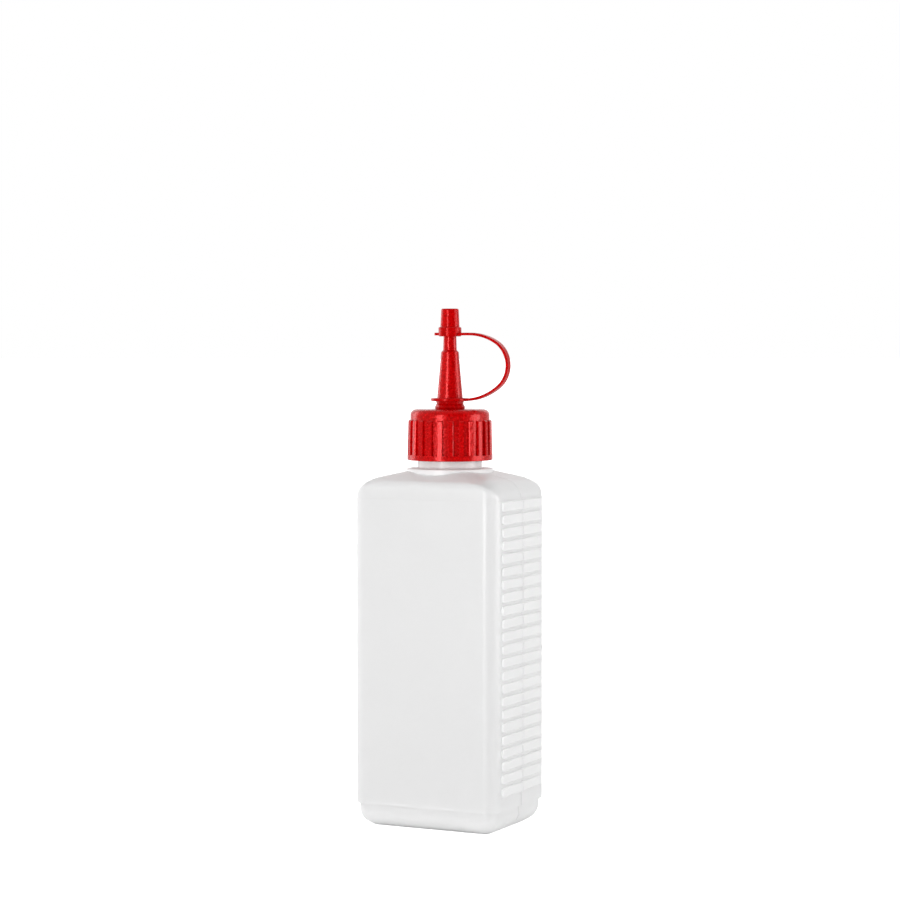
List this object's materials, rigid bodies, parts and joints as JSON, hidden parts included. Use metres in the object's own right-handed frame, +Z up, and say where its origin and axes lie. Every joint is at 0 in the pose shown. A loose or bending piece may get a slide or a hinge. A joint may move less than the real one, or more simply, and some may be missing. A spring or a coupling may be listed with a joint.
{
  "type": "squeeze bottle",
  "caption": "Rectangular squeeze bottle with ribbed grip sides, a ribbed screw cap with a conical dosing nozzle and a tip cap on a strap.",
  "frame": {"origin": "centre of the bottle's base, on the plane that it stands on", "axes": "+Z up along the neck and the nozzle, +X towards the ribbed side that the strap bends over, -Y and +Y towards the plain wide faces"},
  "size_m": [0.0572, 0.0432, 0.1829],
  "materials": {
    "bottle_plastic": "milky translucent polyethylene, satin",
    "cap_plastic": "red polyethylene with a fine grain, satin",
    "tether_plastic": "red polyethylene, smooth satin"
  },
  "bodies": {
    "root": {"bottle": "bottle_plastic", "nozzle_cap": "cap_plastic", "tether": "tether_plastic"}
  },
  "joints": []
}
